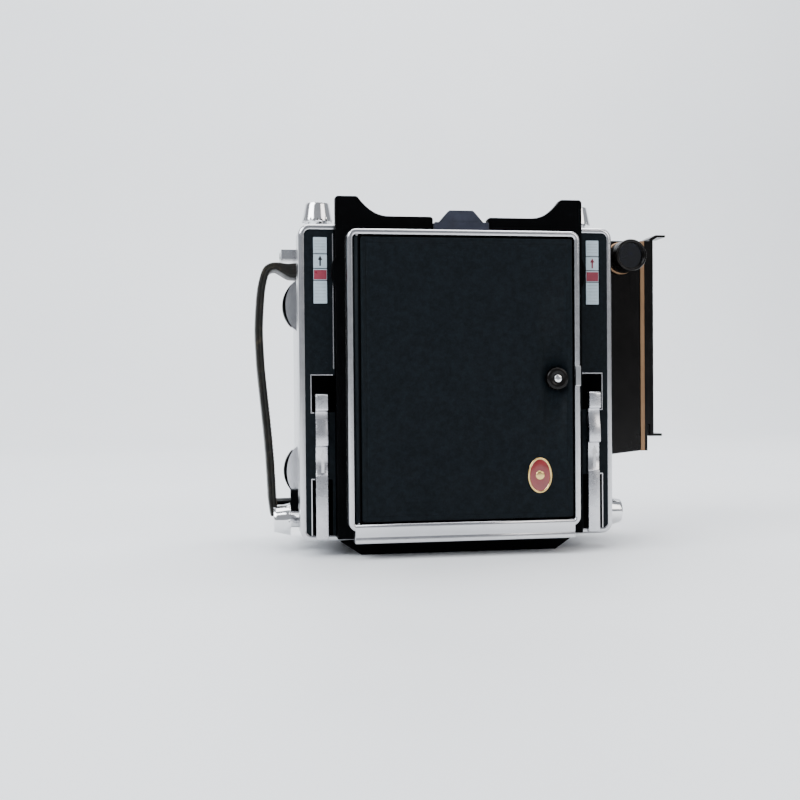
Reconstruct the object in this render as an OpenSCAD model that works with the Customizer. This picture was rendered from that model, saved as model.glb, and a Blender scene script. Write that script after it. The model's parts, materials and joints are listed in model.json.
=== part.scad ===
// Folding large-format press camera, folded shut and standing on its base plate.
// X runs to the right seen from behind, Y runs from the back to the lens, Z is up.
// The origin is the centre of the tripod socket on the underside of the base plate.

/* [Rear frame] */
// Width of the rear frame
frame_w = 180; // [178:0.5:182]
// Height of the rear frame
frame_h = 175.6; // [175:0.1:176]
// Depth of the rear frame along Y
frame_d = 18; // [18:1:18]
// Width of the bright rim around the rear frame
rim_w = 3.2; // [2.5:0.1:3.6]

/* [Body] */
// Width of the body shell
shell_w = 176; // [176:1:176]
// Height of the body shell
shell_h = 174; // [174:1:174]
// Wall thickness of the body shell
shell_wall = 4; // [4:0.5:4]
// Height of the base plate
base_h = 8; // [8:1:8]
// Width of the base plate where it meets the body
base_top_w = 136; // [128:1:140]
// Width of the base plate's underside
base_foot_w = 112; // [108:1:118]

/* [Back] */
// Width of the black glass carrier
carrier_w = 140; // [136:1:140]
// Height of the flat part of the carrier above the table
carrier_top = 187.8; // [186:0.1:189]
// Height of the two horns above the table
horn_top = 198.5; // [195:0.5:199]
// Width of the bright hood frame
hood_w = 130; // [130:1:130]
// Height of the hood frame's top edge
hood_top = 179.3; // [179.3:0.1:179.3]
// Width of the hood frame's side bars
hood_bar = 3.4; // [3:0.1:3.4]

/* [Lens] */
// Height of the lens axis above the table
lens_z = 95; // [95:1:95]
// Radius of the shutter housing
shutter_r = 24; // [20:1:26]

/* [Rods and fits] */
// Radius of the four back rods
rod_r = 3; // [3:0.1:3]
// Running clearance of a shaft in its bore
fit = 0.05; // [0.03:0.01:0.08]

/* [Hidden] */

rear_y = -46;
split_y = rear_y + frame_d;
shell_y = [split_y, 34];
shell_z = base_h;
shell_mid = shell_z + shell_h / 2;
shell_in_w = shell_w - 2 * shell_wall;
shell_in_h = shell_h - 2 * shell_wall;
frame_z = 184 - frame_h;
frame_mid = frame_z + frame_h / 2;
rods_x = 77;
rods_z = [18, 172];
knobs_y = -18;
knob_shaft_r = 2.5;
carrier_y = [-52, rear_y - 0.05];
hood_y = [-64, -52.2];
hood_z = 9;
hood_sill = 19.5;
hood_mid = (hood_z + hood_top) / 2;
lid_axis = [-59.6, -62.3];
flap_y = -57.7;
lid_knob = [51.2, 97.6];
lid_knob_r = 6.2;
lid_hole_r = 6.35;
slider_x = 78;
slider_w = 6.8;
bed_axis = [38, 20];
bed_y = [36, 52];
bed_w = 172;
bed_h = 164;
bed_mid = 99;
strut_axis = [30, 82];
focus_axis = [43, 138];
board_w = 96;
rf_x = [88, 116.6];
rf_y = [-21, 30];
rf_top = 180;
trim_x = 119.2;
cover_x = 122.8;
cover_screw_z = [76, 174];
eyepiece = [103.8, 169.2];
strap_y = [-8.5, 15.5];
strap_t = 4.6;
strap_line = [
    [-88.2, 160.6], [-92, 160.6], [-96, 163.4], [-100, 164.6], [-103.5, 164], [-106, 162],
    [-108, 156], [-109.5, 146], [-110.5, 128], [-110, 112], [-109, 98], [-106.8, 76],
    [-104.8, 52], [-103.9, 34], [-103.5, 27], [-102.4, 19]];
strap_fold = [[-88.2, 157.6], [-88.2, 166.6], [-95, 167.2], [-101, 166.9], [-100.6, 162.2], [-96, 160]];
lug_r = 18;
lug_x = -96.2;
lug_z = [44, 142];

// An outline in X and Z, carried along Y from y0 to y1
module along_y(y0, y1) {
    translate([0, y1, 0]) rotate([90, 0, 0]) linear_extrude(y1 - y0) children();
}
// An outline in Y and Z, carried along X from x0 to x1
module along_x(x0, x1) {
    translate([x0, 0, 0]) rotate([90, 0, 90]) linear_extrude(x1 - x0) children();
}
// Round bars along each axis, given by the two places across it and the two ends along it
module bar_y(x, z, y0, y1, r) {
    translate([x, y0, z]) rotate([-90, 0, 0]) cylinder(h = y1 - y0, r = r, $fn = 64);
}
module bar_x(y, z, x0, x1, r) {
    translate([x0, y, z]) rotate([0, 90, 0]) cylinder(h = x1 - x0, r = r, $fn = 64);
}
module bar_z(x, y, z0, z1, r) {
    translate([x, y, z0]) cylinder(h = z1 - z0, r = r, $fn = 64);
}
// A block given by its two corners
module block(low, high) {
    translate(low) cube(high - low);
}
// A rectangle with round corners, centred on its own middle
module round_rect(w, h, r) {
    square([w - 2 * r, h], center = true);
    square([w, h - 2 * r], center = true);
    for (sx = [-1, 1], sz = [-1, 1])
        translate([sx * (w / 2 - r), sz * (h / 2 - r)]) circle(r = r, $fn = 48);
}
module round_rect_at(z, w, h, r) {
    translate([0, z]) round_rect(w, h, r);
}
module mirrored() {
    children();
    mirror([1, 0, 0]) children();
}

module shell_ring() {
    difference() {
        round_rect_at(shell_mid, shell_w, shell_h, 8);
        round_rect_at(shell_mid, shell_in_w, shell_in_h, 5);
    }
}

// The walls run on to meet the bed, except low down where the bed's heel swings past
lip_z = 32;
module body_shell() {
    color("gainsboro")
    difference() {
        union() {
            along_y(shell_y[0], shell_y[1]) shell_ring();
            along_y(shell_y[1], shell_y[1] + 1.7) intersection() {
                shell_ring();
                translate([-shell_w / 2, lip_z]) square([shell_w, shell_h]);
            }
        }
        mirrored() bar_z(rods_x, knobs_y, 170, 190, knob_shaft_r + fit);
        bar_x(knobs_y, rods_z[0], -95, 95, knob_shaft_r + fit);
        bar_z(55, 20, 170, 190, 4.5 + fit);
    }
}

module base_plate() {
    half_top = base_top_w / 2;
    half_foot = base_foot_w / 2;
    color("black")
    difference() {
        along_y(-44, 28)
            polygon([[-half_top, base_h], [-half_foot, 0], [half_foot, 0], [half_top, base_h]]);
        bar_z(0, 0, -1, 9, 9.03);
        for (x = [-48, 48], y = [-36, 20]) {
            bar_z(x, y, -1, 2.8, 3.1);
            bar_z(x, y, -1, 9, 1.6);
        }
    }
}

module tripod_bush() {
    color("silver")
    difference() {
        bar_z(0, 0, 0, 7.5, 9);
        bar_z(0, 0, -1, 9, 4);
    }
}

module slotted_screw(head_r, head_h, shank_r, shank_h) {
    difference() {
        cylinder(h = head_h, r = head_r, $fn = 32);
        translate([-head_r, -0.3, -0.1]) cube([2 * head_r, 0.6, 0.7]);
    }
    translate([0, 0, head_h]) cylinder(h = shank_h, r = shank_r, $fn = 32);
}

module base_screws() {
    color("silver")
    for (x = [-48, 48], y = [-36, 20])
        translate([x, y, 0.4]) slotted_screw(3, 2.2, 1.5, 5.3);
}

module small_screws() {
    color("silver") {
        for (x = [-5, 5]) bar_z(x, 8, 182, 183, 1.25);
        for (z = cover_screw_z) bar_x(25, z, cover_x - 1.59, cover_x + 0.4, 2);
    }
}

module rod_guides() {
    color("dimgray")
    mirrored()
    for (z = rods_z) {
        low = (z < 100) ? 12.1 : 165;
        high = (z < 100) ? 25 : 177.9;
        difference() {
            intersection() {
                block([71, -27.5, low], [83.9, -5, high]);
                along_y(-28, 0)
                    round_rect_at(shell_mid, shell_in_w - 0.2, shell_in_h - 0.2, 5);
            }
            bar_y(rods_x, z, -30, 0, rod_r + fit);
            if (z < 100) bar_x(knobs_y, z, rods_x, 90, knob_shaft_r + fit);
            if (z > 100) bar_z(rods_x, knobs_y, z, 190, knob_shaft_r + fit);
        }
    }
}

module bellows_frame() {
    color("dimgray")
    along_y(-27.5, -24.5) difference() {
        round_rect_at(shell_mid, 140, shell_in_h - 0.4, 5);
        round_rect_at(shell_mid, 104, 104, 3);
    }
}

module inner_rails() {
    color("silver") {
        block([-30, -24, 12.1], [30, 24, 14]);
        for (x = [-28, 22]) block([x, -24, 14], [x + 6, 24, 22]);
    }
}

// The hinge along the front edge: ears on the body, knuckles on the bed
ear_x = [54, 62];
module bed_hinge_bracket() {
    color("silver")
    difference() {
        union() {
            block([-78.5, 29, 12.1], [78.5, 34, 18]);
            mirrored() {
                block([ear_x[0], 33, 17], [ear_x[1], bed_axis[0], 23.2]);
                bar_x(bed_axis[0], bed_axis[1], ear_x[0], ear_x[1], 3.2);
            }
        }
        bar_x(bed_axis[0], bed_axis[1], -90, 90, 1.55);
    }
}

module bed_hinge_pins() {
    color("silver")
    mirrored() bar_x(bed_axis[0], bed_axis[1], 46, 70, 1.5);
}

module strut_pivots() {
    color("silver")
    mirrored() {
        bar_x(strut_axis[0], strut_axis[1], 79, 83.9, 2);
        bar_x(strut_axis[0], strut_axis[1], 78, 79, 3.2);
    }
}

module accessory_shoe() {
    color("silver")
    difference() {
        block([-11.3, -2, 182], [11.3, 18, 187]);
        block([-9.3, -3, 183.2], [9.3, 17, 185.4]);
        block([-6.4, -3, 185], [6.4, 17, 188]);
        for (x = [-5, 5]) bar_z(x, 8, 181, 184, 1.3);
    }
}

// Offsets of a polyline to either side, square to the line at each point
function tangent(p, i) =
    let (a = p[max(i - 1, 0)], b = p[min(i + 1, len(p) - 1)]) (b - a) / norm(b - a);
function beside(p, d) =
    [for (i = [0:len(p) - 1]) let (t = tangent(p, i)) p[i] + d * [-t[1], t[0]]];
function reversed(p) = [for (i = [len(p) - 1:-1:0]) p[i]];

module hand_strap() {
    color("saddlebrown")
    along_y(strap_y[0], strap_y[1])
        union() {
            polygon(concat(beside(strap_line, strap_t / 2), reversed(beside(strap_line, -strap_t / 2))));
            polygon(strap_fold);
        }
}

module strap_upper_fitting() {
    color("silver")
    block([-97.3, -8, 168.4], [-88, 14, 174.2]);
}

// A thin tongue from the strap to the wall, with an upright clip at its back edge
module strap_lower_fitting() {
    color("dimgray") {
        block([-100.9, -6, 25], [-88, 13, 27.2]);
        block([-92.9, -6, 21.4], [-88, -0.4, 33.2]);
    }
}

// Two bowed lugs on the left wall
module side_lugs() {
    color("silver")
    for (z = lug_z)
        along_y(0, 8) intersection() {
            translate([lug_x + lug_r, z]) circle(r = lug_r, $fn = 96);
            translate([lug_x - 2, z - lug_r]) square([-shell_w / 2 - lug_x + 2, 2 * lug_r]);
        }
}

module rangefinder_outline(inset) {
    polygon([[rf_x[0] + inset, 51 + inset], [rf_x[1], 54 + inset], [rf_x[1], rf_top - inset],
        [rf_x[0] + inset, rf_top - inset]]);
}

module rangefinder_housing() {
    color("black")
    difference() {
        along_y(rf_y[0], rf_y[1]) rangefinder_outline(0);
        along_y(rf_y[0] + 2, rf_y[1] - 2) rangefinder_outline(2);
        bar_y(eyepiece[0], eyepiece[1], -30, 0, 6.5);
        bar_y(101, 165, 20, 35, 6.1);
        bar_y(101, 118, 20, 35, 5.1);
    }
}

module rangefinder_trim() {
    color("tan")
    along_x(rf_x[1], trim_x) difference() {
        translate([rf_y[0], 54]) square([rf_y[1] - rf_y[0], rf_top - 54]);
        translate([rf_y[0] + 3, 60]) square([rf_y[1] - rf_y[0] - 6, rf_top - 66]);
    }
}

module rangefinder_cover() {
    color("black")
    difference() {
        along_x(trim_x, cover_x)
            translate([rf_y[0], 70]) square([rf_y[1] - rf_y[0], rf_top - 70]);
        for (z = cover_screw_z) bar_x(25, z, cover_x - 1.6, cover_x + 1, 2.05);
    }
    color("black")
    along_x(trim_x, trim_x + 1.6)
        translate([rf_y[0], 54]) square([rf_y[1] - rf_y[0], 16]);
}

// The accessory strip outside the rangefinder, with its two turned-out tips
module side_bracket() {
    strip_x = cover_x + 0.1;
    color("dimgray")
    along_y(-20, -4) {
        translate([strip_x, 62.6]) square([2.2, 118]);
        polygon([[strip_x, 180.6], [strip_x + 2.2, 180.6], [128, 182.4], [133, 182.4], [133, 183.8],
            [127, 183.8], [strip_x, 181.6]]);
        translate([strip_x, 62.6]) square([7.6, 1.6]);
    }
}

module eyepiece_tube() {
    color("black")
    difference() {
        union() {
            bar_y(eyepiece[0], eyepiece[1], -26, -21, 7.6);
            bar_y(eyepiece[0], eyepiece[1], -40, -26, 9.3);
        }
        bar_y(eyepiece[0], eyepiece[1], -50, 0, 5.2);
        bar_y(eyepiece[0], eyepiece[1], -41, -36, 7.4);
    }
}

// Eyepiece lens, beam splitter and the two front window lenses
module rangefinder_optics() {
    color("lightblue", 0.5) {
        bar_y(eyepiece[0], eyepiece[1], -38, -36.05, 7.3);
        block([95, -5, 159], [109, 9, 171]);
        bar_y(101, 165, 28.2, 30, 6);
        bar_y(101, 118, 28.2, 30, 5);
    }
}

module pleated_ring(y0, y1, w, h, folds) {
    step = (y1 - y0) / folds;
    for (i = [0:folds - 1])
        along_y(y0 + i * step, y0 + (i + 1) * step) difference() {
            round_rect_at(lens_z, w - (i % 2) * 4, h - (i % 2) * 4, 3);
            round_rect_at(lens_z, w - 8, h - 8, 3);
        }
}

module bellows() {
    color("black") pleated_ring(-24.4, -9.7, 108, 108, 7);
}

module bellows_rear() {
    color("black") pleated_ring(-44.6, -28.4, 110, 128, 7);
}

// A fluted knob on a shaft, with its seat at the origin and its head along Z
module fluted_knob(seat_r, end_r, head_h, neck_r, neck_h, shaft_h) {
    translate([0, 0, -shaft_h]) cylinder(h = shaft_h + 1, r = knob_shaft_r, $fn = 48);
    cylinder(h = neck_h, r = neck_r, $fn = 48);
    difference() {
        translate([0, 0, neck_h]) cylinder(h = head_h, r1 = seat_r, r2 = end_r, $fn = 64);
        for (i = [0:11])
            rotate([0, 0, i * 30]) translate([seat_r + 0.9, 0, neck_h - 1])
                cylinder(h = head_h + 2, r = 1.3, $fn = 24);
    }
}
module knob_top() {
    translate([rods_x, knobs_y, 182.1]) fluted_knob(8.9, 6.8, 10.6, 6, 6.4, 6.8);
}
module knob_side() {
    translate([88.1, knobs_y, rods_z[0]]) rotate([0, 90, 0]) fluted_knob(9.2, 7, 9.4, 4.8, 6, 6.8);
}
module clamp_knob_top_left() {
    color("silver") mirror([1, 0, 0]) knob_top();
}
module clamp_knob_top_right() {
    color("silver") knob_top();
}
module clamp_knob_side_left() {
    color("silver") mirror([1, 0, 0]) knob_side();
}
module clamp_knob_side_right() {
    color("silver") knob_side();
}

module bed_release_button() {
    color("silver") {
        bar_z(55, 20, 176.5, 185, 4.5);
        bar_z(55, 20, 174.5, 176.5, 5.6);
    }
}

module back_frame() {
    color("silver")
    difference() {
        along_y(rear_y, split_y) difference() {
            round_rect_at(frame_mid, frame_w, frame_h, 6);
            round_rect_at(lens_z, 112, 130, 3);
        }
        along_y(rear_y - 1, rear_y + 1)
            round_rect_at(frame_mid, frame_w - 2 * rim_w, frame_h - 2 * rim_w, 4);
        for (x = [-rods_x, rods_x], z = rods_z) bar_y(x, z, rear_y + 4, split_y + 1, rod_r + 0.02);
    }
}

module back_rods() {
    color("silver")
    for (x = [-rods_x, rods_x], z = rods_z) bar_y(x, z, rear_y + 4.1, -6, rod_r);
}

// The black cover strip beside the carrier, with its two lock pockets and the scale window
module rail_plate() {
    color("black")
    along_y(rear_y, rear_y + 0.95) difference() {
        intersection() {
            translate([70.4, 11.7]) square([16.3, 169.1]);
            round_rect_at(frame_mid, frame_w - 2 * rim_w - 0.1, frame_h - 2 * rim_w - 0.1, 4);
        }
        translate([70, 80]) square([13.4, 20.3]);
        translate([72, 8]) square([11.4, 34.7]);
        translate([slider_x - 3.75, 139.9]) square([7.5, 36.6]);
    }
}

module rail_plates() {
    mirrored() rail_plate();
}

module indicator_plate() {
    color("white")
    along_y(rear_y - 0.4, rear_y + 0.9) translate([slider_x - 3.7, 140]) square([7.4, 36.4]);
}

module indicator_plates() {
    mirrored() indicator_plate();
}

// The long back-lock slider: tab, ramp, thumb block, arrow recess and bar
module lock_slider() {
    color("gainsboro")
    along_x(slider_x - slider_w / 2, slider_x + slider_w / 2)
        polygon([[-46.3, 9.7], [-48, 9.7], [-48, 45], [-47.2, 45], [-47.2, 61.2], [-50, 61.2],
            [-50, 72.5], [-48, 78], [-48, 80.7], [-50.4, 80.7], [-50.4, 89.2], [-49.6, 90.1],
            [-46.3, 90.1]]);
}
module lock_slider_left() {
    mirror([1, 0, 0]) lock_slider();
}
module lock_slider_right() {
    lock_slider();
}

// The black plate with horns that carries the focusing screen
horn_in = 57.7;
horn_foot = 39.4;
tab_gap = 15.6;
module carrier_half() {
    half = carrier_w / 2;
    rise = horn_top - carrier_top;
    run = horn_in - horn_foot;
    polygon(concat(
        [[0, 10], [half, 10], [half, horn_top - 1], [half - 1, horn_top], [horn_in + 1, horn_top]],
        [for (i = [8:-1:0]) [horn_foot + run * i / 8, carrier_top + rise * pow(i / 8, 2.3) - i / 40]],
        [[tab_gap + 1, carrier_top], [tab_gap, carrier_top - 1], [tab_gap, hood_top + 0.1],
            [0, hood_top + 0.1]]));
    translate([56.3, 157]) circle(r = 16, $fn = 64);
}
module glass_carrier() {
    color("black")
    along_y(carrier_y[0], carrier_y[1]) difference() {
        union() {
            carrier_half();
            mirror([1, 0]) carrier_half();
        }
        round_rect_at(lens_z, 102, 124, 2);
    }
}

module ground_glass() {
    color("lightcyan", 0.5)
    along_y(-50.5, -48.5) round_rect_at(lens_z, 101.6, 123.6, 1.8);
}

module glass_retainer() {
    color("silver")
    along_y(-51.9, -50.6) difference() {
        round_rect_at(lens_z, 101.6, 123.6, 1.8);
        round_rect_at(lens_z, 96, 118, 1);
    }
}

module hood_frame() {
    color("silver")
    difference() {
        along_y(hood_y[0], hood_y[1]) difference() {
            round_rect_at(hood_mid, hood_w, hood_top - hood_z, 4);
            translate([-hood_w / 2 + hood_bar, hood_sill])
                square([hood_w - 2 * hood_bar, hood_top - hood_bar - hood_sill]);
            for (s = [-1, 1]) translate([s * 66 - 4.5, 5]) square([9, 10.5]);
        }
        bar_z(lid_axis[0], lid_axis[1], 14, 178, 0.65);
    }
}

module hood_hinge_pin() {
    color("silver") bar_z(lid_axis[0], lid_axis[1], 14.5, 177.5, 0.6);
}

module lid_catch() {
    color("silver")
    block([61.9, -65.2, 93.5], [64.7, -64, 104.5]);
}

module pull_tab() {
    color("slategray")
    along_y(-54, -50)
        polygon([[-12.9, 184.4], [12.9, 184.4], [7.4, 190.6], [6.6, 191.2], [-6.6, 191.2], [-7.4, 190.6]]);
    color("silver")
    block([-15.3, -56, 179.6], [15.3, -46.6, 184.4]);
}

module hood_lid() {
    color("silver")
    difference() {
        union() {
            block([lid_axis[0], -62.2, 20.2], [61, -60.8, 175.3]);
            bar_z(lid_axis[0], lid_axis[1], 20.2, 175.3, 1.5);
        }
        bar_z(lid_axis[0], lid_axis[1], 14, 178, 0.68);
        bar_y(lid_knob[0], lid_knob[1], -70, -55, lid_hole_r);
    }
}

module lid_leather() {
    color("darkslategray")
    along_y(-63.8, -62.25) difference() {
        translate([-57.8, 20.6]) square([118.4, 154.3]);
        translate(lid_knob) circle(r = lid_hole_r, $fn = 64);
    }
}

module lid_knob() {
    color("black") {
        bar_y(lid_knob[0], lid_knob[1], -66.4, -61.2, lid_knob_r);
        bar_y(lid_knob[0], lid_knob[1], -67, -66.4, 2.1);
    }
}

// Three mitred flaps that lie flat under the lid
flap_t = 0.5;
flap_reach = 50;
module flap_sheet(half_base) {
    polygon([[-half_base, 0], [half_base, 0], [half_base - flap_reach, -flap_reach],
        [-half_base + flap_reach, -flap_reach]]);
}
module hood_flap_top() {
    color("black")
    along_y(flap_y - flap_t, flap_y + flap_t) translate([0, 174.6]) flap_sheet(59);
    color("black") bar_x(flap_y, 174.6, -58, 58, flap_t);
}
module hood_flap_bottom() {
    color("black")
    along_y(flap_y - flap_t, flap_y + flap_t) translate([0, 20.9]) mirror([0, 1]) flap_sheet(59);
    color("black") bar_x(flap_y, 20.9, -58, 58, flap_t);
}
module hood_flap_right() {
    color("black")
    along_y(flap_y - flap_t, flap_y + flap_t)
        translate([60, 97.75]) rotate(-90) flap_sheet(75.6);
    color("black") bar_z(60, flap_y, 23.2, 172.3, flap_t);
}

module bed_door() {
    color("silver")
    difference() {
        union() {
            difference() {
                along_y(bed_y[0], bed_y[1]) round_rect_at(bed_mid, bed_w, bed_h, 8);
                along_y(bed_y[0] - 1, bed_y[1] - 3) round_rect_at(bed_mid, bed_w - 6, bed_h - 6, 5);
            }
            mirrored()
                for (x = [46.2, 62.4]) bar_x(bed_axis[0], bed_axis[1], x, x + 7.4, 3);
        }
        mirrored() {
            bar_x(bed_axis[0], bed_axis[1], ear_x[0] - 0.3, ear_x[1] + 0.3, 6.6);
            block([80, 30, focus_axis[1] - 9], [90, 46, focus_axis[1] + 9]);
        }
        bar_x(bed_axis[0], bed_axis[1], -71, 71, 1.56);
        bar_y(0, 80, 40, 60, 6.03);
    }
}

module bed_leather() {
    color("darkslategray")
    along_y(bed_y[1], bed_y[1] + 0.9) difference() {
        round_rect_at(bed_mid, bed_w - 9, bed_h - 9, 5);
        translate([0, 80]) circle(r = 6.5, $fn = 64);
    }
}

module bed_tripod_bush() {
    color("silver")
    difference() {
        bar_y(0, 80, 44, 52.9, 6);
        bar_y(0, 80, 43, 54, 3.1);
    }
}

// Guide rails and shaft bearings, fixed inside the bed
module bed_fittings() {
    color("silver")
    mirrored() {
        difference() {
            block([30.2, 38.5, 26], [34, 49, 160]);
            bar_x(focus_axis[0], focus_axis[1], 25, 40, 2.5 + fit);
        }
        difference() {
            block([60, 39, focus_axis[1] - 6], [64, 49, focus_axis[1] + 6]);
            bar_x(focus_axis[0], focus_axis[1], 55, 70, 2.5 + fit);
        }
    }
}

module focus_carriage() {
    color("silver") {
        block([-30, 38.5, 27], [30, 40, 148]);
        for (x = [-28, 22]) block([x, 36.2, 27], [x + 6, 38.5, 148]);
    }
}

module focus_shaft() {
    color("gainsboro") {
        bar_x(focus_axis[0], focus_axis[1], -69, 69, 2.5);
        bar_x(focus_axis[0], focus_axis[1], -12, 12, 2.9);
        mirrored() difference() {
            bar_x(focus_axis[0], focus_axis[1], 69, 81, 5.7);
            for (i = [0:11]) translate([68, focus_axis[0], focus_axis[1]])
                rotate([i * 30, 0, 0]) translate([0, 6.2, 0]) rotate([0, 90, 0])
                    cylinder(h = 14, r = 1, $fn = 24);
        }
    }
}

// Each strut turns on its pivot in the side wall; its far end rests on the bed
module bed_struts() {
    length = 84;
    color("silver")
    mirrored() difference() {
        union() {
            block([80, strut_axis[0] - 3.5, strut_axis[1]],
                [82, strut_axis[0] + 3.5, strut_axis[1] + length]);
            bar_x(strut_axis[0], strut_axis[1], 80, 82, 4.5);
            bar_x(strut_axis[0], strut_axis[1] + length, 80, 82, 3.5);
        }
        bar_x(strut_axis[0], strut_axis[1], 79, 83, 2 + fit);
        bar_x(strut_axis[0], strut_axis[1] + length, 79, 83, 1.6);
    }
}

module front_standard() {
    color("silver") {
        block([-34, -9.5, 24], [34, 2.5, 31]);
        along_y(-9.5, -2.1) difference() {
            union() {
                round_rect_at(lens_z, 108, 112, 6);
                translate([-30, 30]) square([60, 12]);
            }
            round_rect_at(lens_z, 84, 84, 3);
        }
    }
}

module lens_board() {
    color("dimgray")
    along_y(-2, 0) difference() {
        round_rect_at(lens_z, board_w, board_w, 3);
        translate([0, lens_z]) circle(r = 17, $fn = 96);
    }
}

// Shutter housing, front barrel and rear cell, bored through for the glass
module lens_barrel() {
    color("black")
    difference() {
        union() {
            bar_y(0, lens_z, 0.05, 11, shutter_r);
            bar_y(0, lens_z, -14, 0.1, 16.9);
            bar_y(0, lens_z, 11, 24, 17);
            bar_y(0, lens_z, 22, 26, 20);
        }
        bar_y(0, lens_z, -20, -4, 13.5);
        bar_y(0, lens_z, -5, 14, 10);
        bar_y(0, lens_z, 13, 30, 14.5);
    }
}

module aperture_ring() {
    color("silver")
    difference() {
        bar_y(0, lens_z, 12, 20, 20.5);
        bar_y(0, lens_z, 10, 25, 17 + fit);
        for (i = [0:23])
            rotate_about_lens(i * 15) bar_y(21, 0, 13.5, 18.5, 0.9);
    }
}
module rotate_about_lens(a) {
    translate([0, 0, lens_z]) rotate([0, a, 0]) children();
}

module lens_glass() {
    color("lightblue", 0.5) {
        bar_y(0, lens_z, 18, 21.5, 14.4);
        bar_y(0, lens_z, -11, -8, 13.4);
    }
}

module shutter_lever() {
    color("silver")
    difference() {
        union() {
            along_y(2.5, 4.5) polygon([[22, lens_z + 22], [29, lens_z + 26], [29, lens_z + 30],
                [25, lens_z + 30], [17, lens_z + 22]]);
        }
        bar_y(0, lens_z, 0, 12, shutter_r + 0.3);
    }
}

body_shell();
base_plate();
tripod_bush();
base_screws();
small_screws();
rod_guides();
bellows_frame();
inner_rails();
bed_hinge_bracket();
bed_hinge_pins();
strut_pivots();
accessory_shoe();
hand_strap();
strap_upper_fitting();
strap_lower_fitting();
side_lugs();
rangefinder_housing();
rangefinder_trim();
rangefinder_cover();
rangefinder_optics();
side_bracket();
eyepiece_tube();
bellows();
clamp_knob_top_left();
clamp_knob_top_right();
clamp_knob_side_left();
clamp_knob_side_right();
bed_release_button();
back_frame();
back_rods();
rail_plates();
indicator_plates();
bellows_rear();
lock_slider_left();
lock_slider_right();
glass_carrier();
ground_glass();
glass_retainer();
hood_frame();
hood_hinge_pin();
lid_catch();
pull_tab();
hood_lid();
lid_leather();
lid_knob();
hood_flap_top();
hood_flap_bottom();
hood_flap_right();
bed_door();
bed_leather();
bed_tripod_bush();
bed_fittings();
focus_carriage();
focus_shaft();
bed_struts();
front_standard();
lens_board();
lens_barrel();
lens_glass();
aperture_ring();
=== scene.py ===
import json
import math

import bmesh
import bpy
from mathutils import Matrix, Vector


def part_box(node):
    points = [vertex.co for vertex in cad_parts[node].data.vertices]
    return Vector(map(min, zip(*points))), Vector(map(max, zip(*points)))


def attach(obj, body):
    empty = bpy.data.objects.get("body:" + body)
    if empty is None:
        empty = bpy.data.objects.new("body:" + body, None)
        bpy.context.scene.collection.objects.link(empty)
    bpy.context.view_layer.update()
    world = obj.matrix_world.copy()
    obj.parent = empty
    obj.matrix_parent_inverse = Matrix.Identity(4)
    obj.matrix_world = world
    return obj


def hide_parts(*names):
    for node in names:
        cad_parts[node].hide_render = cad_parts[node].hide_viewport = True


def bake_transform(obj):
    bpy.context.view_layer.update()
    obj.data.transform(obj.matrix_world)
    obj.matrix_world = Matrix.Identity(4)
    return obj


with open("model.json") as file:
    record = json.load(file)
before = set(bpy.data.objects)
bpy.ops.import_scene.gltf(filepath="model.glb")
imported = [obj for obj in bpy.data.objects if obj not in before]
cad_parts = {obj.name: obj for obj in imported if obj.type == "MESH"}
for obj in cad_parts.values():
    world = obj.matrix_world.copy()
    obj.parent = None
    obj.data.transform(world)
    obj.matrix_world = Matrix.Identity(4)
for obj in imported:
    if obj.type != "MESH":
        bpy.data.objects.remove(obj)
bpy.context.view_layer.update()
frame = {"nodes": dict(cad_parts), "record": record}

MM = 0.001
MID_Z = 95 * MM  # the lens axis, and the middle of the light chamber and both bellows
nodes = frame["nodes"]
slot_of = {s["node"]: s["material_slot"] for s in frame["record"]["subparts"]}


# ---------------------------------------------------------------- camera, floor and light

# Metres, then degrees turned to the right, tilted down and rolled.
CAMERA_PLACE = (-0.131, -0.6585, 0.0953)
CAMERA_ANGLES = (9.0, 0.83, -0.45)


def add_camera():
    """A 50 mm lens 0.61 m behind the back, a little to its left and at half its height."""
    turn, tilt, roll = (math.radians(a) for a in CAMERA_ANGLES)
    data = bpy.data.cameras.new("camera")
    data.lens = 50
    data.sensor_width = 36
    camera = bpy.data.objects.new("camera", data)
    bpy.context.scene.collection.objects.link(camera)
    aim = (Matrix.Rotation(-turn, 4, "Z") @ Matrix.Rotation(-tilt, 4, "X")
           @ Matrix.Rotation(-roll, 4, "Y") @ Matrix.Rotation(math.pi / 2, 4, "X"))
    camera.matrix_world = Matrix.Translation(CAMERA_PLACE) @ aim
    bpy.context.scene.camera = camera


def add_light(name, place, target, size, power, colour):
    """A soft rectangular light that faces its target."""
    data = bpy.data.lights.new(name, "AREA")
    data.shape = "RECTANGLE"
    data.size, data.size_y = size
    data.energy = power
    data.color = colour
    light = bpy.data.objects.new(name, data)
    bpy.context.scene.collection.objects.link(light)
    light.location = place
    light.rotation_euler = (Vector(target) - Vector(place)).to_track_quat("-Z", "Y").to_euler()


def add_world():
    """An even, slightly blue surround."""
    world = bpy.data.worlds.new("studio")
    world.use_nodes = True
    background = world.node_tree.nodes["Background"]
    background.inputs["Color"].default_value = (0.82, 0.86, 0.92, 1)
    background.inputs["Strength"].default_value = 0.42
    bpy.context.scene.world = world


def add_floor():
    """A table top that sweeps up into a wall far behind the camera body."""
    half_w, front, back, bend, top = 3.0, -2.0, 1.6, 0.5, 2.6
    steps = 12
    line = [(front, 0.0), (back - bend, 0.0)]
    line += [(back - bend + bend * math.sin(a), bend - bend * math.cos(a))
             for a in (math.pi / 2 * i / steps for i in range(1, steps + 1))]
    line.append((back, top))
    verts = [(x, y, z) for y, z in line for x in (-half_w, half_w)]
    faces = [(2 * i, 2 * i + 1, 2 * i + 3, 2 * i + 2) for i in range(len(line) - 1)]
    floor = add_mesh("floor", verts, faces, floor_material())


# ---------------------------------------------------------------- node-tree helpers

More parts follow.
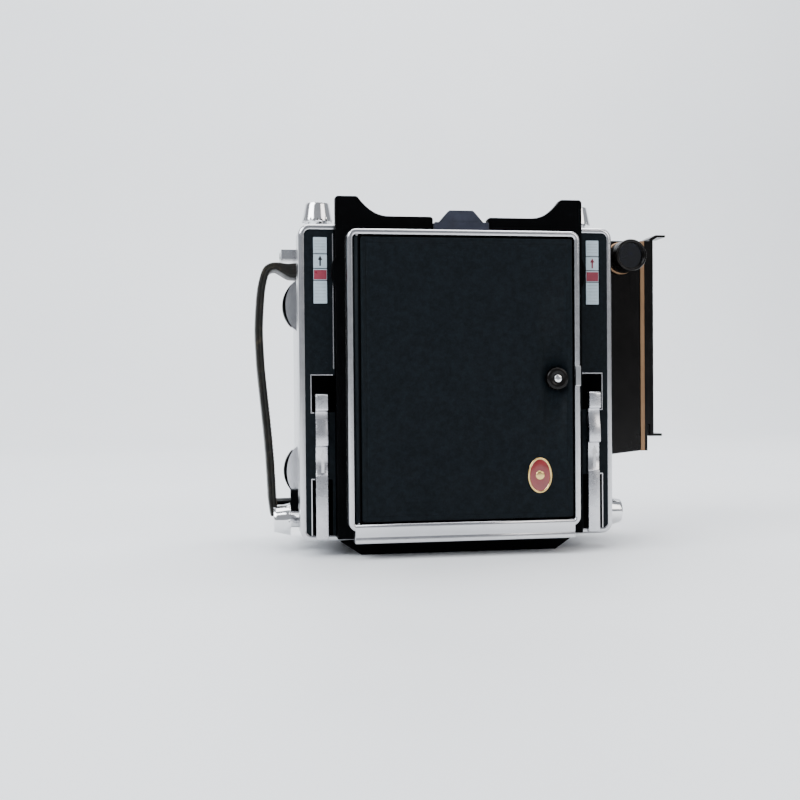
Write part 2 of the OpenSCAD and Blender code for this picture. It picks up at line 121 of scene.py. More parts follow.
class Tree:
    """A material's node tree, with one short call for each kind of node."""

    def __init__(self, name):
        self.material = bpy.data.materials.new(name)
        self.material.use_nodes = True
        self.tree = self.material.node_tree
        self.shader = self.tree.nodes["Principled BSDF"]
        coords = self.tree.nodes.new("ShaderNodeTexCoord")
        self.place = coords.outputs["Object"]

    def link(self, a, b):
        """Joins an output to an input."""
        self.tree.links.new(a, b)

    def stretched(self, scale):
        """The piece's coordinates scaled unevenly, which draws noise out into a brushed grain."""
        node = self.tree.nodes.new("ShaderNodeMapping")
        node.inputs["Scale"].default_value = scale
        self.link(self.place, node.inputs["Vector"])
        return node.outputs["Vector"]

    def noise(self, scale, detail=4.0, rough=0.55, where=None):
        """Cloudy noise of scale features per metre."""
        node = self.tree.nodes.new("ShaderNodeTexNoise")
        node.inputs["Scale"].default_value = scale
        node.inputs["Detail"].default_value = detail
        node.inputs["Roughness"].default_value = rough
        self.link(where or self.place, node.inputs["Vector"])
        return node.outputs["Fac"]

    def cells(self, scale, smooth=0.6):
        """Soft rounded cells, scale of them per metre."""
        node = self.tree.nodes.new("ShaderNodeTexVoronoi")
        node.feature = "SMOOTH_F1"
        node.inputs["Scale"].default_value = scale
        node.inputs["Smoothness"].default_value = smooth
        self.link(self.place, node.inputs["Vector"])
        return node.outputs["Distance"]

    def ramp(self, value, stops):
        """A colour picked along the (position, colour) stops."""
        node = self.tree.nodes.new("ShaderNodeValToRGB")
        node.color_ramp.elements[0].position = stops[0][0]
        node.color_ramp.elements[0].color = (*stops[0][1], 1)
        node.color_ramp.elements[1].position = stops[-1][0]
        node.color_ramp.elements[1].color = (*stops[-1][1], 1)
        for position, colour in stops[1:-1]:
            node.color_ramp.elements.new(position).color = (*colour, 1)
        self.link(value, node.inputs["Fac"])
        return node.outputs["Color"]

    def remap(self, value, low, high, from_low=0.3, from_high=0.7):
        """The value's middle range stretched to run from low to high."""
        node = self.tree.nodes.new("ShaderNodeMapRange")
        node.inputs["From Min"].default_value = from_low
        node.inputs["From Max"].default_value = from_high
        node.inputs["To Min"].default_value = low
        node.inputs["To Max"].default_value = high
        self.link(value, node.inputs["Value"])
        return node.outputs["Result"]

    def bump(self, height, strength, depth, under=None):
        """Relief of the given depth in metres, over an earlier relief if there is one."""
        node = self.tree.nodes.new("ShaderNodeBump")
        node.inputs["Strength"].default_value = strength
        node.inputs["Distance"].default_value = depth
        self.link(height, node.inputs["Height"])
        if under:
            self.link(under, node.inputs["Normal"])
        self.link(node.outputs["Normal"], self.shader.inputs["Normal"])
        return node.outputs["Normal"]

    def colour(self, socket):
        self.link(socket, self.shader.inputs["Base Color"])

    def roughness(self, socket):
        self.link(socket, self.shader.inputs["Roughness"])

    def fixed(self, **values):
        """Sets the shader's sockets to single values."""
        for name, value in values.items():
            self.shader.inputs[name.replace("_", " ")].default_value = value


def shade(colour, factor):
    """The colour made darker or lighter, and never over full brightness."""
    return tuple(min(c * factor, 1.0) for c in colour)


def metal(name, colour, rough, brushed=None, spread=0.08, scratch=0.15):
    """Bare or plated metal with smudges, fine scratches and, if asked, a brushed grain."""
    t = Tree(name)
    t.fixed(Metallic=1.0)
    smudge = t.noise(90, 6)
    t.colour(t.ramp(smudge, [(0.3, shade(colour, 1 - spread)), (0.7, shade(colour, 1 + spread))]))
    t.roughness(t.remap(t.noise(220, 5), rough * 0.85, rough * 1.2))
    along = t.stretched(brushed) if brushed else None
    t.bump(t.noise(1400, 3, where=along), scratch, 0.00004)
    return t.material


def paint(name, colour, rough, grain=2600, depth=0.00003, strength=0.25, coat=0.0, spread=0.25,
          shine=0.5):
    """Paint or enamel with an uneven skin, dust and slightly polished patches."""
    t = Tree(name)
    t.fixed(Coat_Weight=coat, Coat_Roughness=0.08, Specular_IOR_Level=shine)
    t.colour(t.ramp(t.noise(140, 6), [(0.3, shade(colour, 1 - spread)),
                                      (0.72, shade(colour, 1 + spread))]))
    t.roughness(t.remap(t.noise(60, 5), rough * 0.75, rough * 1.25))
    t.bump(t.noise(grain, 3), strength, depth)
    return t.material


def leather(name, dark, light, rough, cell, depth, strength=0.55, shine=0.1):
    """Grained leather: rounded pebbles of the given size in metres, with lighter rubbed tops."""
    t = Tree(name)
    t.fixed(Specular_IOR_Level=shine)
    pebbles = t.cells(1 / cell)
    t.colour(t.ramp(t.noise(1 / cell / 3.2, 5, 0.7), [(0.36, dark), (0.68, light)]))
    t.roughness(t.remap(t.noise(70, 5), rough * 0.85, rough * 1.15))
    wrinkle = t.bump(t.noise(330, 6, 0.65), strength * 0.5, depth * 1.6)
    t.bump(pebbles, strength, depth, wrinkle)
    return t.material


def worn_leather(name):
    """The strap: dark brown leather, rubbed to tan in patches."""
    t = Tree(name)
    t.colour(t.ramp(t.noise(170, 8, 0.72), [(0.34, (0.002, 0.0018, 0.0012)),
                                            (0.56, (0.0055, 0.0045, 0.0026)),
                                            (0.76, (0.045, 0.034, 0.019))]))
    t.fixed(Specular_IOR_Level=0.25)
    t.roughness(t.remap(t.noise(240, 5), 0.38, 0.62))
    creases = t.bump(t.noise(420, 7, 0.7), 0.5, 0.0003)
    t.bump(t.cells(1500), 0.35, 0.00012, creases)
    return t.material


def glass(name, colour, rough, coat=0.0):
    """Clear or frosted glass with a faint film on it."""
    t = Tree(name)
    t.fixed(Transmission_Weight=1.0, IOR=1.5, Coat_Weight=coat)
    t.colour(t.ramp(t.noise(30, 3), [(0.3, shade(colour, 0.93)), (0.7, colour)]))
    t.roughness(t.remap(t.noise(400, 4), rough * 0.7, rough * 1.3 + 0.004))
    return t.material


def floor_material():
    """Pale matt paint, a little uneven."""
    t = Tree("floor_pale")
    t.colour(t.ramp(t.noise(3.0, 6), [(0.3, (0.89, 0.91, 0.935)), (0.7, (0.93, 0.945, 0.96))]))
    t.roughness(t.remap(t.noise(9, 5), 0.42, 0.6))
    t.bump(t.noise(220, 4), 0.08, 0.0006)
    return t.material


MATERIALS = {
    "satin_chrome": metal("satin_chrome", (0.60, 0.60, 0.62), 0.2, (0.06, 1, 1), spread=0.03,
                          scratch=0.05),
    "bright_chrome": metal("bright_chrome", (0.86, 0.86, 0.87), 0.11, scratch=0.05),
    "satin_aluminium": metal("satin_aluminium", (0.64, 0.64, 0.67), 0.27, (1, 1, 0.05),
                             spread=0.04, scratch=0.06),
    "steel": metal("steel", (0.52, 0.52, 0.53), 0.3, (0.05, 1, 1)),
    "black_paint": paint("black_paint", (0.0012, 0.0013, 0.0016), 0.5, shine=0.02),
    "gloss_black": paint("gloss_black", (0.0026, 0.0021, 0.0019), 0.24, coat=0.05, shine=0.15),
    "slate_paint": paint("slate_paint", (0.022, 0.025, 0.040), 0.42, shine=0.3),
    "tan_trim": metal("tan_trim", (0.27, 0.165, 0.095), 0.42),
    "leatherette": leather("leatherette", (0.0010, 0.0026, 0.0040), (0.0034, 0.0066, 0.0094), 0.62,
                           0.00085, 0.00010),
    "strap_leather": worn_leather("strap_leather"),
    "white_enamel": paint("white_enamel", (0.43, 0.52, 0.58), 0.3, spread=0.07, coat=0.3),
    "bellows_cloth": leather("bellows_cloth", (0.006, 0.006, 0.006), (0.016, 0.016, 0.016), 0.7,
                             0.0006, 0.00006),
    # The optical glass is tinted dark: painted shade that darkens the eyepiece as its unlit inside
    # would.
    "optical_glass": glass("optical_glass", (0.10, 0.11, 0.20), 0.01, coat=0.5),
    "frosted_glass": glass("frosted_glass", (0.86, 0.92, 0.92), 0.55),
    "black_barrel": paint("black_barrel", (0.008, 0.008, 0.009), 0.36, coat=0.2),
}
RED = paint("scale_red", (0.22, 0.026, 0.046), 0.35, spread=0.18, coat=0.3)
INK = paint("scale_ink", (0.010, 0.012, 0.016), 0.4, spread=0.3)
GREY_INK = paint("scale_grey", (0.30, 0.36, 0.39), 0.4, spread=0.2)
WHITE_FILL = paint("white_fill", (0.72, 0.72, 0.74), 0.4, spread=0.08)
GILT = metal("gilt", (0.80, 0.56, 0.22), 0.22)
CRIMSON = paint("crimson_enamel", (0.19, 0.010, 0.012), 0.2, spread=0.2, coat=0.9)
THREAD = leather("waxed_thread", (0.05, 0.035, 0.018), (0.16, 0.11, 0.06), 0.5, 0.0003, 0.00005)


# ---------------------------------------------------------------- mesh helpers

def add_mesh(name, verts, faces, material, smooth=True):
    """A new object from its vertices and faces, with its normals turned outward."""
    mesh = bpy.data.meshes.new(name)
    mesh.from_pydata([tuple(v) for v in verts], [], faces)
    mesh.materials.append(material)
    work = bmesh.new()
    work.from_mesh(mesh)
    bmesh.ops.recalc_face_normals(work, faces=work.faces)
    work.to_mesh(mesh)
    work.free()
    if smooth:
        mesh.shade_smooth()
    piece = bpy.data.objects.new(name, mesh)
    bpy.context.scene.collection.objects.link(piece)
    return piece


def round_edges(piece, width, segments=2):
    """Rounds every edge that turns by more than 35 degrees."""
    bevel = piece.modifiers.new("round_edges", "BEVEL")
    bevel.width = width
    bevel.segments = segments
    bevel.limit_method = "ANGLE"
    bevel.angle_limit = math.radians(35)
    bevel.harden_normals = True


def rounded_outline(w, h, r, steps=6):
    """A rectangle with round corners about the origin, counter-clockwise."""
    points = []
    for i, (sx, sz) in enumerate(((1, -1), (1, 1), (-1, 1), (-1, -1))):
        for k in range(steps + 1):
            a = math.radians(-90 + 90 * i + 90 * k / steps)
            points.append((sx * (w / 2 - r) + r * math.cos(a), sz * (h / 2 - r) + r * math.sin(a)))
    return points


def ringed_panel(name, centre, size, corner, profile, material, outward=-1):
    """A panel in X and Z made of nested rounded rings. Each ring of the profile is (inset, height);
    height is measured from centre along outward times Y. The first ring is the outer edge."""
    w, h = size
    rings = []
    for inset, height in profile:
        r = max(corner - inset, 0.0002)
        rings.append([(centre[0] + x, centre[1] + outward * height, centre[2] + z)
                      for x, z in rounded_outline(w - 2 * inset, h - 2 * inset, r)])
    return loft(name, rings, material)


def loft(name, rings, material, closed=False):
    """Joins rings of the same length in order and fills both ends, or joins the last to the first."""
    return skin(name, rings, material, closed, filled=not closed)


def skin(name, rings, material, closed=False, filled=False, smooth=True):
    """The faces between rings of the same length, with the last joined to the first if closed."""
    n, count = len(rings[0]), len(rings)
    verts = [p for ring in rings for p in ring]
    faces = []
    for i in range(count if closed else count - 1):
        j = (i + 1) % count
        faces += [(i * n + k, i * n + (k + 1) % n, j * n + (k + 1) % n, j * n + k) for k in range(n)]
    if filled:
        faces.append(tuple(range(n)))
        faces.append(tuple(range((count - 1) * n, count * n)))
    return add_mesh(name, verts, faces, material, smooth)


def turned(name, profile, centre, axis, material, steps=64):
    """A turned piece: the profile's (radius, distance) points, spun about an axis through centre."""
    turn = Vector((0, 0, 1)).rotation_difference(Vector(axis)).to_matrix()
    rings = []
    for radius, along in profile:
        rings.append([Vector(centre) + turn @ Vector((
            radius * math.cos(a), radius * math.sin(a), along))
            for a in (2 * math.pi * k / steps for k in range(steps))])
    return loft(name, rings, material)


def plate(name, outline, y_from, y_to, material, bevel=0.0):
    """A flat piece with an outline in X and Z, from one Y to another."""
    n = len(outline)
    verts = [(x, y, z) for y in (y_from, y_to) for x, z in outline]
    faces = [tuple(range(n)), tuple(range(n, 2 * n))]
    faces += [(k, (k + 1) % n, n + (k + 1) % n, n + k) for k in range(n)]
    piece = add_mesh(name, verts, faces, material, smooth=False)
    if bevel:
        round_edges(piece, bevel)
    return piece


def joined(name, pieces):
    """Joins separate pieces that are one thing, such as a row of stitches."""
    bpy.ops.object.select_all(action="DESELECT")
    for piece in pieces:
        piece.select_set(True)
    bpy.context.view_layer.objects.active = pieces[0]
    bpy.ops.object.join()
    pieces[0].name = name
    return pieces[0]


def carve(piece, cutter):
    """Cuts cutter out of piece, removes cutter and gives back the piece."""
    cut = piece.modifiers.new("carve", "BOOLEAN")
    cut.operation = "DIFFERENCE"
    cut.solver = "EXACT"
    cut.object = cutter
    bpy.context.view_layer.update()
    solved = piece.evaluated_get(bpy.context.evaluated_depsgraph_get())
    result = bpy.data.meshes.new_from_object(solved)
    piece.modifiers.remove(cut)
    piece.data = result
    bpy.data.objects.remove(cutter)
    return piece


def settle(piece, body, replaces=()):
    """Puts a finished piece on its body and the nodes that it stands for."""
    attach(piece, body)
    if replaces:
        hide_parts(*replaces)


def span(node):
    """The low corner, high corner and middle of a CAD node."""
    low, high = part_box(node)
    return low, high, (low + high) / 2


def side_name(side):
    """The word for a side of -1 or 1, as it is in the names of pieces and nodes."""
    return "left" if side < 0 else "right"


# ---------------------------------------------------------------- the hood lid

def lid_panel():
    """The lid's leather: rolled edge, a pressed border line 3 mm in, and a flat field."""
    low, high, mid = span("lid_leather")
    thick = high.y - low.y
    steps = [(0, 0), (0, thick * 0.55), (0.12, thick * 0.82), (0.4, thick * 0.96), (0.8, thick),
             (2.6, thick), (2.8, thick - 0.00022), (3.3, thick - 0.00026), (3.6, thick - 0.00003),
             (4.2, thick), (9, thick), (20, thick)]
    profile = [(inset * MM, height) for inset, height in steps]
    panel = ringed_panel("lid_leather_panel", (mid.x, high.y, mid.z),
                         (high.x - low.x, high.z - low.z), 1.6 * MM, profile,
                         MATERIALS["leatherette"])
    _, _, knob = span("lid_knob")
    hole_r, reach = 6.35 * MM, 4 * MM
    hole = turned("knob_hole", [(hole_r, -reach), (hole_r, reach)],
                  (knob.x, low.y, knob.z), (0, 1, 0), MATERIALS["leatherette"])
    carve(panel, hole)
    settle(panel, "lid", ["lid_leather"])


def lid_spine():
    """Leather wrapped round the lid's hinge barrel."""
    low, high, _ = span("hood_lid")
    barrel_r, thick = 1.5 * MM, 0.15 * MM
    r, x, y = 1.68 * MM, low.x + barrel_r, low.y + barrel_r
    angles = [math.radians(a) for a in range(100, 281, 12)]
    outer = [(x + r * math.cos(a), y + r * math.sin(a)) for a in angles]
    inner = [(x + (r - thick) * math.cos(a), y + (r - thick) * math.sin(a))
             for a in reversed(angles)]
    ends = (low.z + 0.3 * MM, high.z - 0.3 * MM)
    rings = [[(px, py, z) for px, py in outer + inner] for z in ends]
    settle(loft("lid_leather_spine", rings, MATERIALS["leatherette"]), "lid")


def lid_button():
    """A black knob with a round shoulder, a dished face and a bright centre."""
    low, high, mid = span("lid_knob")
    r = (high.x - low.x) / 2
    profile = [(0.96, 0), (1, 0.4), (1, 4.3), (0.97, 4.8), (0.88, 5.15), (0.6, 5.2), (0.52, 4.95),
               (0.4, 4.85)]
    knob = turned("lid_knob_cap", [(r * part, along * MM) for part, along in profile],
                  (mid.x, high.y, mid.z), (0, -1, 0), MATERIALS["gloss_black"])
    settle(knob, "lid_button", ["lid_knob"])
    dot = [(2.1, -0.5), (2.1, 0.3), (1.85, 0.55), (1.0, 0.62)]
    centre = turned("lid_knob_centre", [(radius * MM, along * MM) for radius, along in dot],
                    (mid.x, low.y + 0.6 * MM, mid.z), (0, -1, 0), MATERIALS["bright_chrome"])
    settle(centre, "lid_button")


def lid_badge():
    """A plain oval badge: gilt rim, red field and a round gilt boss."""
    x, z, w, h = 41.3 * MM, 44.2 * MM, 13.8 * MM, 19.8 * MM
    face = span("lid_leather")[0].y
    steps = 56

    def oval(inset, height):
        return [(x + (w / 2 - inset * MM) * math.cos(a), face - height * MM,
                 z + (h / 2 - inset * MM) * math.sin(a))
                for a in (2 * math.pi * k / steps for k in range(steps))]

    rim = [(0, -0.1), (0, 0.35), (0.2, 0.6), (0.6, 0.66), (1.0, 0.5), (1.15, 0.25)]
    settle(loft("lid_badge_rim", [oval(*ring) for ring in rim], GILT), "lid")
    field = [(1.1, 0.2), (1.15, 0.42), (1.6, 0.5), (4.5, 0.56)]
    settle(loft("lid_badge_field", [oval(*ring) for ring in field], CRIMSON), "lid")
    boss = turned("lid_badge_boss", [(2.5 * MM, 0), (2.5 * MM, 0.2 * MM), (2.1 * MM, 0.42 * MM),
                                     (1.2 * MM, 0.55 * MM)],
                  (x, face - 0.4 * MM, z), (0, -1, 0), GILT, 40)
    settle(boss, "lid")


def hood_rim():
    """The hood's bright frame: round-edged bars with a deep sill below, stepped in at its ends."""
    low, high, _ = span("hood_frame")
    foot, corner = 15.5 * MM, 5.2 * MM
    w, h = high.x - low.x, high.z - foot
    depth = (high.y - low.y) / MM
    section = [(0, depth), (0, 1.5), (0.12, 0.95), (0.42, 0.48), (0.9, 0.14), (1.5, 0), (2.2, 0),
               (2.7, 0.16), (3.1, 0.5), (3.32, 0.95), (3.4, 1.5), (3.4, depth)]
    rings = []
    for inset, back in ((a * MM, b * MM) for a, b in section):
        rings.append([(x, low.y + back, (foot + high.z) / 2 + z) for x, z in rounded_outline(
            w - 2 * inset, h - 2 * inset, corner - inset, 8)])
    bars = loft("hood_rim", rings, MATERIALS["satin_chrome"], closed=True)
    settle(bars, "spring_back", ["hood_frame"])
    sill_low, sill_high, sill_half, chamfer = low.z / MM, 19.5, 61.5, 0.35
    lip = [(sill_low, 1.2), (sill_low, 0.5), (sill_low + 0.3, 0.1), (sill_low + 0.9, 0), (12.2, 0),
           (12.5, 0.18), (12.8, 0), (17.6, -0.05), (18.7, 0), (19.3, 0.35), (sill_high, 0.9),
           (sill_high, 5.0)]
    ends = [(-sill_half, chamfer), (chamfer - sill_half, 0), (sill_half - chamfer, 0),
            (sill_half, chamfer)]
    rings = [[(x * MM, low.y + (back + inset) * MM, z * MM) for z, back in lip]
             + [(x * MM, high.y, z * MM) for z in (sill_high, sill_low)] for x, inset in ends]
    settle(loft("hood_sill", rings, MATERIALS["satin_chrome"]), "spring_back")


def lug_dark_reflections():
    """A black crescent round the left edge of each of the two side lugs: a painted dark reflection of
    the strap.
    """
    low, high, _ = span("side_lugs")
    r, proud = 18 * MM, 0.12 * MM
    angles = [math.radians(a) for a in range(136, 225, 4)]

    def arc(z, radii):
        return [(low.x + r + radius * math.cos(a), z + radius * math.sin(a))
                for radius, a in zip(radii, angles)]

    def waist(k):
        return (0.2 + 1.3 * math.sin(math.pi * k / (len(angles) - 1))) * MM

    edges = []
    for z in (44 * MM, 142 * MM):
        outer = arc(z, [r + proud for _ in angles])
        inner = arc(z, [r - waist(k) for k in range(len(angles))])
        # Black paint stands in for the strap's dark reflection on each lug's rounded left edge: painted
        # reflection.
        edges.append(plate("lug_dark_reflection", outer + inner[::-1], high.y + 0.1 * MM, low.y - proud,
                           MATERIALS["black_paint"]))
    settle(joined("lug_dark_reflections", edges), "camera_body")


# ---------------------------------------------------------------- the rear frame's scales and locks

def scale_marks(side):
    """The enamel scale's red band, arrow and fine grey lines, standing 0.06 mm proud."""
    low, high, _ = span("indicator_plates")
    half_w = 3.7
    centre = side * (high.x - half_w * MM)
    name = side_name(side)

    def shape(label, outline, material):
        return plate(f"scale_{label}_{name}", [(centre + x * MM, low.z + z * MM) for x, z in outline],
                     low.y + 0.05 * MM, low.y - 0.06 * MM, material)

    def mark(label, half, z0, z1, material):
        return shape(label, [(-half, z0), (half, z0), (half, z1), (-half, z1)], material)

    settle(mark("red_band", 3.5, 13.2, 18.4, RED), "swing_back")
    ink = INK if side < 0 else RED
    arrow = [mark("arrow_stem", 0.45, 20.6, 24.6, ink),
             shape("arrow_head", [(-1.3, 23.9), (1.3, 23.9), (0, 26.4)], ink)]
    settle(joined(f"scale_arrow_{name}", arrow), "swing_back")
    heights = [1.6, 3.4, 5.2, 7.0, 8.8, 10.6, 27.8, 29.4, 31.0, 32.6, 34.2]
    lines = [mark(f"line_{i}", 3.0, z, z + 0.28, GREY_INK) for i, z in enumerate(heights)]
    settle(joined(f"scale_lines_{name}", lines), "swing_back")
    edges = [mark(f"edge_{i}", half_w, z, z + 0.5, INK) for i, z in enumerate((12.4, 19.0, 27.0))]
    settle(joined(f"scale_dividers_{name}", edges), "swing_back")


def strip(name, points, width, y_back, y_front, material):
    """A thin bright line that follows points in X and Z, of one width, with square corners."""
    left, right = [], []
    points = [Vector(p) for p in points]
    last = len(points) - 1
    for i, here in enumerate(points):
        before, after = points[max(i - 1, 0)], points[min(i + 1, last)]
        d1 = (here - before).normalized() if i else (after - here).normalized()
        d2 = (after - here).normalized() if i < last else d1
        n = Vector((-d1.y - d2.y, d1.x + d2.x)).normalized()
        stretch = 1 / max(n.dot(Vector((-d1.y, d1.x))), 0.3)
        left.append(tuple(here + n * width / 2 * stretch))
        right.append(tuple(here - n * width / 2 * stretch))
    return plate(name, left + right[::-1], y_back, y_front, material, 0.06 * MM)


def pocket_edges(side):
    """The bright cut edges of the two lock pockets and of the cover strip beside the carrier."""
    name = side_name(side)
    face = span("rail_plates")[0].y
    width, proud = 0.55 * MM, 0.12 * MM
    outlines = {
        "upper_pocket": [(71.4, 100.6), (83.6, 100.6), (83.6, 79.7), (81.9, 79.7)],
        "lower_pocket": [(81.9, 43.0), (83.6, 43.0), (83.6, 11.9)],
        "inner_line": [(71.0, 104.0), (71.0, 178.6)],
    }
    pieces = [strip(f"{label}_{name}", [(side * x * MM, z * MM) for x, z in points], width,
                    face + 0.4 * MM, face - proud, MATERIALS["satin_chrome"])
              for label, points in outlines.items()]
    settle(joined(f"pocket_edges_{name}", pieces), "swing_back")


# The slider's face from its tail up to its tab, as (y, z) in millimetres.
SLIDER_BACK_Y, RECESS_Y = -46.3, -47.2
SLIDER_FACE = [(-47.5, 9.7), (-47.9, 9.9), (-48.0, 10.4), (-48.0, 44.6), (-47.9, 44.95), (-47.5, 45.0),
               (RECESS_Y, 45.3), (RECESS_Y, 60.7), (-47.5, 61.0), (-49.3, 61.2), (-49.8, 61.5),
               (-50.0, 62.3), (-50.0, 66.5), (-49.9, 68.5), (-49.6, 70.5), (-49.1, 72.6), (-48.6, 74.8),
               (-48.25, 77.0), (-48.1, 79.4), (-48.2, 80.2), (-48.8, 80.6), (-50.0, 80.8),
               (-50.35, 81.2), (-50.4, 82.0), (-50.4, 88.4), (-50.25, 89.2), (-49.8, 89.8),
               (-49.2, 90.1)]


def lock_arrow(side):
    """The white direction arrow filled into the lock slider's recess."""
    name = side_name(side)
    _, _, mid = span(f"lock_slider_{name}")
    x, z = mid.x + 0.4 * MM, 46.6 * MM
    outline = [(-0.7, 0), (0.9, 0), (0.9, 8.2), (2.2, 8.2), (0.2, 12.6), (-1.8, 8.2), (-0.7, 8.2)]
    arrow = plate(f"lock_arrow_{name}", [(x + px * MM, z + pz * MM) for px, pz in outline],
                  (RECESS_Y + 0.1) * MM, (RECESS_Y - 0.12) * MM, WHITE_FILL, 0.04 * MM)
    settle(arrow, f"lock_{name}")


def lock_slider(side):
    """The lock slider: a flat tail, a recess, a humped thumb rest and a square tab."""
    name = side_name(side)
    low, high, _ = span(f"lock_slider_{name}")
    outline = [(SLIDER_BACK_Y, SLIDER_FACE[0][1])] + SLIDER_FACE + [(SLIDER_BACK_Y, SLIDER_FACE[-1][1])]
    rings = []
    for x, inset in ((low.x, 0.35), (low.x + 0.1 * MM, 0.12), (low.x + 0.35 * MM, 0),
                     (high.x - 0.35 * MM, 0), (high.x - 0.1 * MM, 0.12), (high.x, 0.35)):
        rings.append([(x, min(y + inset, SLIDER_BACK_Y) * MM, z * MM) for y, z in outline])
    slider = loft(f"lock_slider_body_{name}", rings, MATERIALS["satin_aluminium"])
    settle(slider, f"lock_{name}", [f"lock_slider_{name}"])


def rear_frame():
    """The rear frame with a rolled bright rim. Its rebate and light chamber are painted black."""
    low, high, mid = span("back_frame")
    w, h = high.x - low.x, high.z - low.z
    roll, corner = 2.1 * MM, 6.4 * MM
    rebate_y = low.y + 0.98 * MM
    chamber = rounded_outline(112 * MM, 130 * MM, 3 * MM)
    bright = [(0, high.y)]
    bright += [(roll * (1 - math.cos(a)), low.y + roll * (1 - math.sin(a)))
               for a in (math.radians(d) for d in range(0, 91, 15))]
    bright += [(3.05 * MM, low.y), (3.2 * MM, low.y + 0.15 * MM)]
    rings = [[(x, y, mid.z + z)
              for x, z in rounded_outline(w - 2 * inset, h - 2 * inset, corner - inset)]
             for inset, y in bright]
    rings.append([(x, rebate_y, z) for x, _, z in rings[-1]])
    rings += [[(x, y, MID_Z + z) for x, z in chamber] for y in (rebate_y, high.y)]
    frame_piece = loft("rear_frame_body", rings, MATERIALS["satin_chrome"], closed=True)
    frame_piece.data.materials.append(MATERIALS["black_paint"])
    per_ring = len(rings[0])
    for face in frame_piece.data.polygons:
        ring = face.index // per_ring
        face.material_index = 1 if len(bright) - 1 <= ring < len(rings) - 1 else 0
    settle(frame_piece, "swing_back", ["back_frame"])


# ---------------------------------------------------------------- the hand strap

# The strap's middle line from its upper fitting down, as (x, z) in millimetres, and half its
# thickness at the first points, where it is folded back on itself.
STRAP = [(-88.1, 162.2), (-92, 162.2), (-96, 163.4), (-100, 164.6), (-103.5, 164), (-106, 162),
         (-108, 156), (-109.5, 146), (-110.5, 128), (-110, 112), (-109, 98), (-106.8, 76),
         (-104.8, 52), (-103.9, 34), (-103.5, 27), (-102.4, 19)]
FOLD = [4.5, 4.2, 3.0, 2.2]
PER_SPAN = 5


def fold_at(place):
    """How much thicker the strap is where its end is folded back, as a multiple of one strap."""
    i = min(int(place), len(FOLD) - 1)
    j = min(i + 1, len(FOLD) - 1)
    return (FOLD[i] + (FOLD[j] - FOLD[i]) * (place - i if i < j else 0)) / FOLD[-1]


def smooth_line(points):
    """A Catmull-Rom curve through the points, with PER_SPAN steps between two of them."""
    padded = [points[0]] + list(points) + [points[-1]]
    line = []
    for i in range(1, len(padded) - 2):
        p0, p1, p2, p3 = (Vector(p) for p in padded[i - 1:i + 3])
        for k in range(PER_SPAN):
            t = k / PER_SPAN
            line.append(0.5 * (2 * p1 + (p2 - p0) * t + (2 * p0 - 5 * p1 + 4 * p2 - p3) * t ** 2
                               + (3 * p1 - p0 - 3 * p2 + p3) * t ** 3))
    line.append(Vector(points[-1]))
    return line


def strap_frames():
    """Each point of the strap's middle line in X and Z, with the direction of its outer face."""
    line = [p * MM for p in smooth_line(STRAP)]
    frames = []
    for i, p in enumerate(line):
        d = (line[min(i + 1, len(line) - 1)] - line[max(i - 1, 0)]).normalized()
        frames.append((p, Vector((-d.y, d.x))))
    return frames


def hand_strap():
    """One strip of leather, crowned outside and thicker where its upper end is folded back."""
    low, high, mid = span("hand_strap")
    half_w = (high.y - low.y) / 2 - 0.2 * MM
    half_t = 2.15 * MM
    edge = [(0.70, 1.0), (0.90, 0.97), (0.975, 0.82), (1.0, 0.5), (0.995, 0.16)]
    groove = (0.965, 0.0)
    section = []
    for sy, st in ((-1, -1), (1, -1), (1, 1), (-1, 1)):
        corner = edge + [groove] if sy * st > 0 else edge
        section += [(sy * w * half_w, st * t * half_t) for w, t in corner]
    section.sort(key=lambda q: math.atan2(q[1] / half_t, q[0] / half_w))
    rings = []
    frames = strap_frames()
    for i, (p, n) in enumerate(frames):
        wave = 0.10 * MM * math.sin(i * 0.9) + 0.06 * MM * math.sin(i * 2.3 + 1)
        taper = fold_at(i / PER_SPAN)
        ring = []
        for y, t in section:
            crown = 0.35 * MM * (1 - (y / half_w) ** 2) if t > 0 else 0
            off = t * taper + crown * 0.6 + wave * 0.3
            ring.append((p.x + n.x * off, mid.y + y, p.y + n.y * off))
        rings.append(ring)
    strap = loft("hand_strap_leather", rings, MATERIALS["strap_leather"])
    settle(strap, "camera_body", ["hand_strap"])
    stitches(mid.y, half_w - 2.3 * MM, half_t + 0.08 * MM, frames)


def stitches(y_mid, half_gap, lift, frames):
    """Saddle stitches along both edges of the strap's outer face."""
    threads = []
    for side in (-1, 1):
        y = y_mid + side * half_gap
        for (p, n), (q, m) in zip(frames[6:-4], frames[7:]):
            for part in (0.18, 0.68):
                a = p.lerp(q, part) + n * lift
                b = p.lerp(q, min(part + 0.34, 1)) + m * lift
                threads.append((Vector((a.x, y, a.y)), Vector((b.x, y, b.y))))
    seam = joined("strap_stitches_outer", [thread(start, end) for start, end in threads])
    settle(seam, "camera_body")


def thread(start, end):
    """One stitch: six-sided and thinner where it goes into the leather."""
    along = end - start
    side = Vector((0, 1, 0))
    up = along.cross(side).normalized()
    rings = []
    for t, size in ((0, 0.12), (0.2, 0.28), (0.8, 0.28), (1, 0.12)):
        rings.append([start + along * t + (side * math.cos(a) + up * math.sin(a)) * size * MM
                      for a in (math.pi / 3 * k for k in range(6))])
    return loft("stitch", rings, THREAD)


# ---------------------------------------------------------------- bellows

